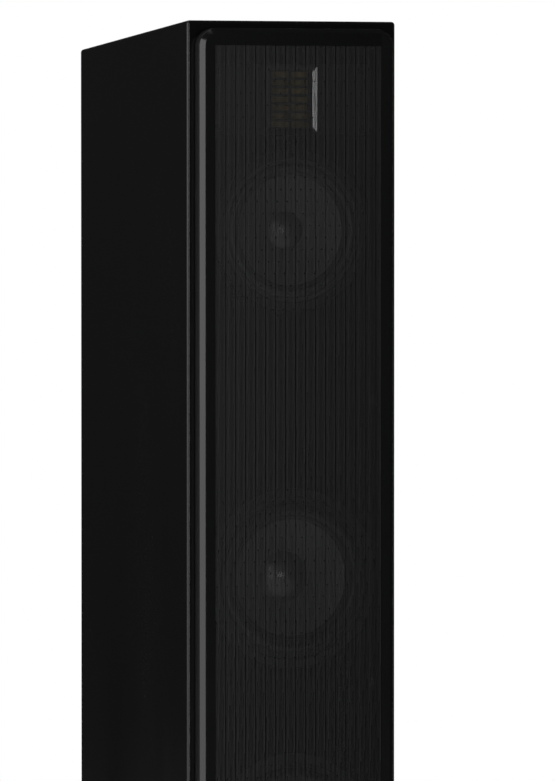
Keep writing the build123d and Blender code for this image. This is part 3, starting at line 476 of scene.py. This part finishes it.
M = {
    "lacquer": lacquer(),
    "board": raw_board(),
    "wadding": wadding(),
    "plate": faceplate(),
    "steel": steel("zinc_plated_steel", (0.46, 0.46, 0.47)),
    "pole": powder_coat("pole_black_oxide", (0.020, 0.020, 0.020), 0.42, 1800.0, 0.00002),
    "foil": ribbon_foil(),
    "nickel": nickel(),
    "basket": powder_coat("basket_paint", (0.016, 0.016, 0.017), 0.36, 800.0, 0.00004),
    "ferrite": ferrite(),
    "surround": rubber("surround_rubber", (0.012, 0.012, 0.0125), 0.44),
    "copper": copper(),
    "screw": powder_coat("screw_black_oxide", (0.014, 0.014, 0.015), 0.34, 3000.0, 0.00001, metal=0.4),
    "grille": grille_coat(),
    "moulded": moulding("moulded_black", (0.016, 0.016, 0.0165), 0.44),
    "gold": gold_plate(),
    "cap_red": moulding("cap_red", (0.42, 0.012, 0.012), 0.22, 900.0, 0.00001, coat=0.6),
    "cap_black": moulding("cap_black", (0.014, 0.014, 0.015), 0.24, 900.0, 0.00001, coat=0.5),
    "capacitor": capacitor(),
    "cable": cable_sleeve(),
    "foot_steel": steel("black_chrome", (0.10, 0.10, 0.105), 0.24, (60, 60, 1600), (0.15, 0.145, 0.14)),
    "foot_rubber": rubber("foot_rubber", (0.016, 0.016, 0.016), 0.6, rings=0.0011),
}


def dress(material, *names):
    for n in names:
        o = NODES[n]
        o.data.materials.clear()
        o.data.materials.append(material)
        o.data.update()


dress(M["lacquer"], "left_side_panel", "right_side_panel", "top_panel", "bottom_panel", "rear_panel", "front_baffle")
dress(M["board"], "midrange_chamber_shelf", "window_braces", "crossover_board")
dress(M["plate"], "tweeter_faceplate")
dress(M["pole"], "tweeter_pole_grid")
dress(M["steel"], "tweeter_back_plate", "midrange_front_plate", "midrange_t_yoke", "woofer_front_plates", "woofer_t_yokes")
dress(M["foil"], "tweeter_diaphragm")
dress(M["nickel"], "tweeter_magnets", "grille_magnets")
dress(M["basket"], "midrange_basket", "woofer_baskets")
dress(M["ferrite"], "midrange_magnet", "woofer_magnets")
dress(M["copper"], "midrange_voice_coil", "upper_woofer_voice_coil", "lower_woofer_voice_coil", "crossover_inductors")
dress(M["screw"], "wood_screws")
dress(M["moulded"], "port_tube", "terminal_cup")
dress(M["gold"], "binding_post_studs", "red_post_washer", "black_post_washer")
dress(M["cap_red"], "red_post_cap")
dress(M["cap_black"], "black_post_cap")
dress(M["capacitor"], "crossover_capacitors")
dress(M["cable"], "wiring_harness")
dress(M["foot_steel"], "foot_inserts", *["foot_stud_" + w for w in ("front_left", "front_right", "rear_left", "rear_right")])
dress(M["foot_rubber"], *["foot_pad_" + w for w in ("front_left", "front_right", "rear_left", "rear_right")])
for name, d in DRIVERS.items():
    zc = d["c"].z
    dress(cone_pulp(zc, 0.0062), name + "_cone")
    dress(dust_cap(zc), name + "_dust_cap")


# ------------------------------------------------------------------ mesh helpers
def make(name, verts, faces, material, smooth=None):
    me = bpy.data.meshes.new(name)
    me.from_pydata([tuple(v) for v in verts], [], faces)
    me.validate()
    me.update()
    o = bpy.data.objects.new(name, me)
    scene.collection.objects.link(o)
    me.materials.append(material)
    if smooth is not None:
        me.polygons.foreach_set("use_smooth", [True] * len(me.polygons))
        sharp = math.radians(smooth)
        bm = bmesh.new()
        bm.from_mesh(me)
        for e in bm.edges:
            if len(e.link_faces) == 2 and e.calc_face_angle(0.0) > sharp:
                e.smooth = False
        bm.to_mesh(me)
        bm.free()
    return o


def lathe(profile, zc, segments=128):
    """A closed profile of (radius, depth behind the baffle) in mm, turned about a driver's axis."""
    n = len(profile)
    verts, faces = [], []
    for k in range(segments):
        a = 2 * math.pi * k / segments
        for r, d in profile:
            verts.append((r * MM * math.cos(a), Y_FACE + d * MM, zc + r * MM * math.sin(a)))
    for k in range(segments):
        k2 = (k + 1) % segments
        for i in range(n):
            j = (i + 1) % n
            faces.append((k * n + i, k2 * n + i, k2 * n + j, k * n + j))
    return verts, faces


def fix_normals(o):
    bm = bmesh.new()
    bm.from_mesh(o.data)
    bmesh.ops.recalc_face_normals(bm, faces=bm.faces)
    bm.to_mesh(o.data)
    bm.free()
    o.data.update()
    return o


def radial_blend(o):
    """Bakes the piece's placement into its mesh."""
    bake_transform(o)


# ------------------------------------------------------------------ surrounds and spiders
def surround_profile(d):
    ro, ri, rh, sd, seat = d["roll_out"], d["roll_in"], d["roll_h"], d["seat_d"], d["seat_r"]
    rm, half, t = (ro + ri) / 2, (ro - ri) / 2, 0.95
    top = []
    top.append((seat, sd - 0.02))
    top.append((seat, sd - t + 0.2))
    top.append((seat - 0.25, sd - t))
    top.append((ro + 1.0, sd - t))
    for i in range(0, 25):
        a = math.pi * i / 24
        top.append((rm + half * math.cos(a) + 0.35 * math.cos(a) ** 3, sd - t - rh * math.sin(a) ** 0.92))
    top += [(ri - 1.2, sd - t + 0.55), (ri - 2.9, sd - t + 1.72), (ri - 3.15, sd - t + 2.0)]
    top += [(ri - 3.15, sd + 1.92), (ri - 0.1, sd - 0.05), (ri + 0.9, sd - 0.1)]
    for i in range(1, 24):
        a = math.pi * (1 - i / 24)
        top.append((rm + (half - t) * math.cos(a), sd - (rh - 0.05) * math.sin(a) ** 0.92))
    top.append((ro - 0.6, sd - 0.02))
    return top


for name, d in DRIVERS.items():
    zc = d["c"].z
    v, f = lathe(surround_profile(d), zc, 160)
    o = fix_normals(make(name + "_surround_roll", v, f, M["surround"], 38))
    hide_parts(name + "_surround")
    radial_blend(o)

    r0, r1, sp = d["coil_r"] + 0.2, d["spider_r"], d["spider_d"]
    a0, a1 = r0 + 2.2, d["ledge_in"] - 1.5
    fore = [(r0, sp - 1.3), (r0 + 0.8, sp - 0.5)]
    steps = d["waves"] * 10
    for i in range(steps + 1):
        rr = a0 + (a1 - a0) * i / steps
        fade = min(1.0, 6.0 * min(i, steps - i) / steps + 0.05)
        fore.append((rr, sp + 0.05 - 1.05 * fade * math.sin(2 * math.pi * d["waves"] * i / steps)))
    fore += [(r1, sp + 0.12)]
    aft = [(r, dd + 0.55) for r, dd in reversed(fore)]
    v, f = lathe(fore + aft, zc, 128)
    o = fix_normals(make(name + "_spider_cloth", v, f, cloth_resin(zc), 50))
    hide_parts(name + "_spider")
    radial_blend(o)


# ------------------------------------------------------------------ grille: one formed sheet with staggered slots
SHEET, BEVEL, CORNER, CHAMFER = 0.4, 4.2, 16.0, 0.12            # mm
SLOT_W, RIBS, COLUMNS = 0.6, (0.50,) * 7 + (1.00,), 133
ROW_PITCH, ROWS, STEPS, CROSS_RIB = 84.2, 12, 8, 1.0


def grille_sheet():
    t, bevel, corner, ch = SHEET, BEVEL, CORNER, CHAMFER
    y0 = grille_lo.y / MM                      # outer face
    yb = grille_hi.y / MM                      # rear edge of the return lip
    hw, hh = (grille_hi.x - grille_lo.x) / 2 / MM, (grille_hi.z - grille_lo.z) / 2 / MM
    zc = (grille_hi.z + grille_lo.z) / 2 / MM
    ribs = [RIBS[i % len(RIBS)] for i in range(COLUMNS - 1)]
    total = COLUMNS * SLOT_W + sum(ribs)
    x = -total / 2
    edges_x, cols = [x - 0.4], []
    for i in range(COLUMNS):
        cols.append((x, x + SLOT_W))
        x += SLOT_W
        if i < COLUMNS - 1:
            edges_x.append(x + ribs[i] / 2)
            x += ribs[i]
    edges_x.append(x + 0.4)
    rows, pitch = ROWS, ROW_PITCH
    z_low = -rows * pitch / 2
    verts, faces, index = [], [], {}

    def vid(xx, yy, zz):
        key = (round(xx, 4), round(yy, 4), round(zz, 4))
        if key not in index:
            index[key] = len(verts)
            verts.append((xx * MM, yy * MM, (zz + zc) * MM))
        return index[key]

    def slot_ring(sl, sr, zl, zh, grow):
        """Ten points round one slot with rounded ends."""
        xm, rr = (sl + sr) / 2, (sr - sl) / 2 + grow
        low, high = zl + (sr - sl) / 2, zh - (sr - sl) / 2
        pts = [(xm - rr * math.cos(math.radians(q)), low - rr * math.sin(math.radians(q))) for q in (0, 45, 90, 135, 180)]
        pts += [(xm + rr * math.cos(math.radians(q)), high + rr * math.sin(math.radians(q))) for q in (0, 45, 90, 135, 180)]
        return pts

    # one cell: the sheet between two column borders from za to zb, with a slot in it
    step = pitch / STEPS
    ring_t = (-0.5, 0.25, 0.5, 0.75, 1.02, 1.5, 2.25, 2.5, 2.75, 3.02, 3.5)

    def cell(c, first, count):
        xl, xr = edges_x[c], edges_x[c + 1]
        sl, sr = cols[c]
        za, zb = z_low + first * step, z_low + (first + count) * step
        outer = [(0.0, xl, za)] + [(1 + k / count, xr, za + k * step) for k in range(count + 1)]
        outer += [(3 + k / count, xl, zb - k * step) for k in range(count + 1)]
        ring = slot_ring(sl, sr, za + CROSS_RIB / 2, zb - CROSS_RIB / 2, 0.0)
        wide = slot_ring(sl, sr, za + CROSS_RIB / 2, zb - CROSS_RIB / 2, ch)
        for side, yy in ((0, y0), (1, y0 + t)):
            o = [vid(u, yy, v) for _, u, v in outer]
            r = [vid(u, yy, v) for u, v in (ring if side else wide)]
            i, j, fs = 0, 0, []
            while i < len(outer) - 1 or j < 10:
                ti = outer[i + 1][0] if i < len(outer) - 1 else 9.0
                tj = ring_t[j + 1] if j < 10 else 9.0
                if ti <= tj:
                    fs.append((o[i], o[i + 1], r[j % 10]))
                    i += 1
                else:
                    fs.append((o[i], r[(j + 1) % 10], r[j % 10]))
                    j += 1
            faces.extend(f if side == 0 else f[::-1] for f in fs if len(set(f)) == 3)
            if side == 0:
                m = [vid(u, y0 + ch, v) for u, v in ring]
                q = [vid(u, y0 + t, v) for u, v in ring]
                for i in range(10):
                    j = (i + 1) % 10
                    faces.append((r[i], r[j], m[j], m[i]))
                    faces.append((m[i], m[j], q[j], q[i]))

    for c in range(COLUMNS):
        phase = (c * 3) % STEPS
        if phase:
            cell(c, 0, phase)
        for k in range(rows - (1 if phase else 0)):
            cell(c, phase + k * STEPS, STEPS)
        if phase:
            cell(c, phase + (rows - 1) * STEPS, STEPS - phase)

    # flat border round the slotted field, then the bent rim, the wall and the return lip
    def outline(inset, yy, seg=12):
        w, h, rr = hw - inset, hh - inset, max(corner - inset, 0.6)
        pts = []
        for cx, cz, a0 in ((w - rr, h - rr, 0), (-w + rr, h - rr, 90), (-w + rr, -h + rr, 180), (w - rr, -h + rr, 270)):
            for q in range(seg + 1):
                ang = math.radians(a0 + 90 * q / seg)
                pts.append(vid(cx + rr * math.cos(ang), yy, cz + rr * math.sin(ang)))
        return pts

    k = 0.414
    loops = [
        outline(bevel + 0.35, y0), outline(bevel + 0.10, y0 + 0.03), outline(bevel - 0.13, y0 + 0.15), outline(bevel - 0.28, y0 + 0.28),
        outline(0.28, y0 + bevel - 0.28), outline(0.13, y0 + bevel - 0.13), outline(0.03, y0 + bevel + 0.10), outline(0.0, y0 + bevel + 0.35),
        outline(0.0, yb - 0.4), outline(0.12, yb - 0.12), outline(0.4, yb), outline(9.7, yb), outline(10.0, yb - 0.3),
        outline(10.0, yb - t), outline(t, yb - t), outline(t, y0 + bevel + k * t), outline(bevel + k * t, y0 + t),
    ]
    for la, lb in zip(loops, loops[1:]):
        for i in range(len(la)):
            j = (i + 1) % len(la)
            faces.append((la[i], la[j], lb[j], lb[i]))
    fills = []
    for loop, yy in ((loops[0], y0), (loops[-1], y0 + t)):
        left = [vid(edges_x[0], yy, z_low + k * step) for k in range(rows * STEPS + 1)]
        right = [vid(edges_x[-1], yy, z_low + k * step) for k in range(rows * STEPS + 1)]
        low = [vid(u, yy, z_low) for u in edges_x]
        high = [vid(u, yy, -z_low) for u in edges_x]
        fills.append((loop, right + high[::-1][1:] + left[::-1][1:] + low[1:-1]))
    me = bpy.data.meshes.new("grille_sheet")
    me.from_pydata(verts, [], faces)
    bm = bmesh.new()
    bm.from_mesh(me)
    bm.verts.ensure_lookup_table()
    for loop, inner in fills:
        es = []
        for ring in (loop, inner):
            for i in range(len(ring)):
                va, vb = bm.verts[ring[i]], bm.verts[ring[(i + 1) % len(ring)]]
                es.append(bm.edges.get((va, vb)) or bm.edges.new((va, vb)))
        bmesh.ops.triangle_fill(bm, edges=es, use_beauty=True)
    bmesh.ops.recalc_face_normals(bm, faces=bm.faces)
    for f in bm.faces:
        f.smooth = True
    for e in bm.edges:
        e.smooth = not (len(e.link_faces) == 2 and e.calc_face_angle(0.0) > math.radians(32))
    open_edges = sum(1 for e in bm.edges if len(e.link_faces) != 2)
    print("grille faces", len(bm.faces), "open edges", open_edges, "field", total, rows * pitch)
    bm.to_mesh(me)
    bm.free()
    o = bpy.data.objects.new("grille_sheet", me)
    scene.collection.objects.link(o)
    me.materials.append(M["grille"])
    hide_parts("grille")
    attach(o, "grille")


grille_sheet()


# ------------------------------------------------------------------ wadding: soft sheets, displaced inside the space the CAD keeps for them
def wadding_sheets():
    me = NODES["damping_wadding"].data
    co = np.array([v.co for v in me.vertices])
    # the CAD node holds several separate solids, found by linked vertices
    bm = bmesh.new()
    bm.from_mesh(me)
    bmesh.ops.remove_doubles(bm, verts=bm.verts, dist=1e-6)
    seen, boxes = set(), []
    for v in bm.verts:
        if v.index in seen:
            continue
        stack, group = [v], []
        seen.add(v.index)
        while stack:
            q = stack.pop()
            group.append(q.co.copy())
            for e in q.link_edges:
                w = e.other_vert(q)
                if w.index not in seen:
                    seen.add(w.index)
                    stack.append(w)
        g = np.array(group)
        boxes.append((g.min(0), g.max(0)))
    bm.free()
    boxes.sort(key=lambda b: tuple(b[0]))
    verts, faces = [], []
    for bi, (lo, hi) in enumerate(boxes):
        size = hi - lo
        n = [max(3, int(round(s / 0.010))) for s in size]
        bm = bmesh.new()
        index = {}

        def vert(i, j, k):
            key = (i, j, k)
            if key in index:
                return index[key]
            u = np.array([i / n[0], j / n[1], k / n[2]])
            p = lo + u * size
            # distance to each face, to pillow the edges
            edge = np.minimum(u, 1 - u) * size
            near = np.sort(edge)
            pull = 0.0065 * math.exp(-near[1] / 0.007)
            c = (lo + hi) / 2
            direction = np.sign(c - p) * (edge < 1e-9)
            nz = noise.fractal(Vector(p * 38 + bi * 7.3), 0.9, 2.1, 4)
            inward = pull + 0.0022 * (0.5 + 0.5 * nz) + 0.0004
            p = p + direction * inward
            index[key] = bm.verts.new(p)
            return index[key]

        for ax in range(3):
            a, b = (ax + 1) % 3, (ax + 2) % 3
            for endv in (0, n[ax]):
                for i in range(n[a]):
                    for j in range(n[b]):
                        quad = []
                        for da, db in ((0, 0), (1, 0), (1, 1), (0, 1)):
                            key = [0, 0, 0]
                            key[ax], key[a], key[b] = endv, i + da, j + db
                            quad.append(vert(*key))
                        bm.faces.new(quad if endv else quad[::-1])
        bmesh.ops.recalc_face_normals(bm, faces=bm.faces)
        bmesh.ops.smooth_vert(bm, verts=bm.verts, factor=0.4, use_axis_x=True, use_axis_y=True, use_axis_z=True)
        base = len(verts)
        bm.verts.index_update()
        verts += [tuple(v.co) for v in bm.verts]
        faces += [[base + v.index for v in f.verts] for f in bm.faces]
        bm.free()
    o = make("chamber_wadding", verts, faces, M["wadding"], 80)
    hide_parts("damping_wadding")
    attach(o, "cabinet")


wadding_sheets()


# ------------------------------------------------------------------ studio
def area(name, loc, target, size_x, size_y, power, color=(1, 1, 1), spread=180.0):
    light = bpy.data.lights.new(name, "AREA")
    light.shape = "RECTANGLE"
    light.size, light.size_y = size_x, size_y
    light.energy = power
    light.color = color
    light.spread = math.radians(spread)
    o = bpy.data.objects.new(name, light)
    scene.collection.objects.link(o)
    o.location = loc
    o.rotation_mode = "QUATERNION"
    o.rotation_quaternion = (Vector(target) - Vector(loc)).to_track_quat("-Z", "Y")
    o.visible_camera = False
    return o


def at(azimuth, dist, z):
    a = math.radians(azimuth)
    return (math.sin(a) * dist, -math.cos(a) * dist, z)


world = bpy.data.worlds.new("studio")
scene.world = world
world.use_nodes = True
wn = world.node_tree
wn.nodes.clear()
out = wn.nodes.new("ShaderNodeOutputWorld")
mixer = wn.nodes.new("ShaderNodeMixShader")
path = wn.nodes.new("ShaderNodeLightPath")
seen = wn.nodes.new("ShaderNodeBackground")
lit = wn.nodes.new("ShaderNodeBackground")
seen.inputs["Color"].default_value = (1, 1, 1, 1)
seen.inputs["Strength"].default_value = 1.0
gc = wn.nodes.new("ShaderNodeTexCoord")
sep = wn.nodes.new("ShaderNodeSeparateXYZ")


def wmath(op, u, v):
    m = wn.nodes.new("ShaderNodeMath")
    m.operation = op
    for sock, val in zip(m.inputs, (u, v)):
        if isinstance(val, bpy.types.NodeSocket):
            wn.links.new(val, sock)
        else:
            sock.default_value = val
    return m.outputs[0]


def wspan(v, f0, f1, t0, t1):
    r = wn.nodes.new("ShaderNodeMapRange")
    r.interpolation_type = "SMOOTHSTEP"
    wn.links.new(v, r.inputs["Value"])
    for key, val in (("From Min", f0), ("From Max", f1), ("To Min", t0), ("To Max", t1)):
        r.inputs[key].default_value = val
    return r.outputs["Result"]


# dim room: darkest behind on the left, a little light in front on the right, brighter overhead
wn.links.new(gc.outputs["Generated"], sep.inputs[0])
toward = wmath("ADD", wmath("MULTIPLY", sep.outputs["X"], 0.5), wmath("MULTIPLY", sep.outputs["Y"], -0.866))
level = wmath("ADD", wspan(toward, 0.30, 0.98, WORLD_BACK, WORLD_FRONT), wspan(sep.outputs["Z"], 0.25, 0.95, 0.0, WORLD_TOP))
level = wmath("ADD", level, wspan(sep.outputs["Z"], -0.12, 0.02, -0.4 * WORLD_BACK, 0.0))
wn.links.new(level, lit.inputs["Strength"])
lit.inputs["Color"].default_value = (0.98, 0.99, 1.0, 1)
wn.links.new(path.outputs["Is Camera Ray"], mixer.inputs["Fac"])
wn.links.new(lit.outputs[0], mixer.inputs[1])
wn.links.new(seen.outputs[0], mixer.inputs[2])
wn.links.new(mixer.outputs[0], out.inputs["Surface"])


def softbox(name, azimuth, dist, z, aim_z, width, height, radiance, falloff=0.0):
    """A flat light given by the brightness of its face; falloff dims its lower part."""
    o = area(name, at(azimuth, dist, z), (0, 0, aim_z), width, height, radiance * math.pi * width * height)
    if falloff:
        o.data.use_nodes = True
        nt = o.data.node_tree
        emit = next(n for n in nt.nodes if n.type == "EMISSION")
        geo = nt.nodes.new("ShaderNodeNewGeometry")
        split = nt.nodes.new("ShaderNodeSeparateXYZ")
        span = nt.nodes.new("ShaderNodeMapRange")
        nt.links.new(geo.outputs["Position"], split.inputs[0])
        nt.links.new(split.outputs["Z"], span.inputs["Value"])
        for key, val in (("From Min", 0.0), ("From Max", 1.15), ("To Min", 1.0 - falloff), ("To Max", 1.0)):
            span.inputs[key].default_value = val
        nt.links.new(span.outputs["Result"], emit.inputs["Strength"])
    return o


for spec in LIGHTS:
    softbox(*spec)

# a snooted card that reaches the caps and cones only
card = softbox("cap_card", 3, 5.0, 0.92, 0.75, 0.8, 0.5, CAP_LIGHT)
lit = bpy.data.collections.new("cap_card_receivers")
for n in ("midrange", "upper_woofer", "lower_woofer"):
    lit.objects.link(NODES[n + "_dust_cap"])
    lit.objects.link(NODES[n + "_cone"])
lit.objects.link(bpy.data.objects["midrange_surround_roll"])
card.light_linking.receiver_collection = lit
top = area("top_softbox", (-1.0, 0.3, 3.0), (-0.1, 0.05, 0.9), 1.3, 1.8, TOP_LIGHT * math.pi * 1.3 * 1.8)

# pale floor that fades into the white surround away from the speaker
n_ring, n_rad = 96, 14
fv, ff = [(0, 0, 0)], []
radii = [0.25, 0.5, 0.75, 1.0, 1.3, 1.6, 2.0, 2.4, 2.8, 3.2, 3.6, 4.0, 4.5, 5.0]
for r in radii:
    for k in range(n_ring):
        a = 2 * math.pi * k / n_ring
        fv.append((r * math.cos(a), r * math.sin(a), 0.0))
for k in range(n_ring):
    ff.append((0, 1 + k, 1 + (k + 1) % n_ring))
for i in range(len(radii) - 1):
    for k in range(n_ring):
        a, b = 1 + i * n_ring, 1 + (i + 1) * n_ring
        ff.append((a + k, b + k, b + (k + 1) % n_ring, a + (k + 1) % n_ring))
fs = Shade("pale_floor")
grain = fs.noise(60, 4, 0.5)
fs.color(fs.mix(grain, (0.80, 0.80, 0.80), (0.84, 0.84, 0.84)))
fs.set(rough=0.65, spec=0.2)
fx, fy, fz = fs.split()
dist = fs.math("SQRT", fs.math("ADD", fs.math("MULTIPLY", fx, fx), fs.math("MULTIPLY", fy, fy)))
fade = fs.n("ShaderNodeMapRange", interpolation_type="SMOOTHSTEP")
fs.link(dist, fade.inputs["Value"])
for k, v in (("From Min", 0.75), ("From Max", 3.2), ("To Min", 0.0), ("To Max", 1.0)):
    fade.inputs[k].default_value = v
clear = fs.n("ShaderNodeBsdfTransparent")
mx = fs.n("ShaderNodeMixShader")
glow = fs.n("ShaderNodeEmission")
glow.inputs["Color"].default_value = (1, 1, 1, 1)
rays = fs.n("ShaderNodeLightPath").outputs
fs.link(fs.math("ADD", fs.math("MULTIPLY", rays["Is Camera Ray"], FLOOR_LIFT),
                fs.math("MULTIPLY", rays["Is Glossy Ray"], FLOOR_GLOSS)), glow.inputs["Strength"])
both = fs.n("ShaderNodeAddShader")
fs.link(fs.b.outputs[0], both.inputs[0])
fs.link(glow.outputs[0], both.inputs[1])
fs.link(fade.outputs["Result"], mx.inputs["Fac"])
fs.link(both.outputs[0], mx.inputs[1])
fs.link(clear.outputs[0], mx.inputs[2])
mo = next(n for n in fs.nt.nodes if n.type == "OUTPUT_MATERIAL")
fs.link(mx.outputs[0], mo.inputs["Surface"])
floor = make("floor", fv, ff, fs.m)

scene.view_settings.view_transform = "Standard"
scene.view_settings.look = "None"
scene.view_settings.exposure = 0.0
scene.view_settings.gamma = 1.0

# ------------------------------------------------------------------ camera at the photograph's viewing angle
YAW, PITCH, DIST, FOCAL = math.radians(19.33), math.radians(1.749), 6.0, 6860.0
near = Vector((CAD_LO.x, Y_FACE, 0.9393))
forward = Vector((math.sin(YAW), math.cos(YAW), 0))
right = Vector((math.cos(YAW), -math.sin(YAW), 0))
cam_data = bpy.data.cameras.new("camera")
cam = bpy.data.objects.new("camera", cam_data)
scene.collection.objects.link(cam)
scene.camera = cam
cam_data.sensor_width = 36.0
cam_data.sensor_fit = "AUTO"
cam_data.lens = FOCAL * 36.0 / 781.0
cam.location = near - forward * DIST + right * 0.0789
cam.rotation_mode = "XYZ"
cam.rotation_euler = (math.pi / 2 - PITCH, 0.0, -YAW)
cam_data.clip_start, cam_data.clip_end = 0.1, 100.0
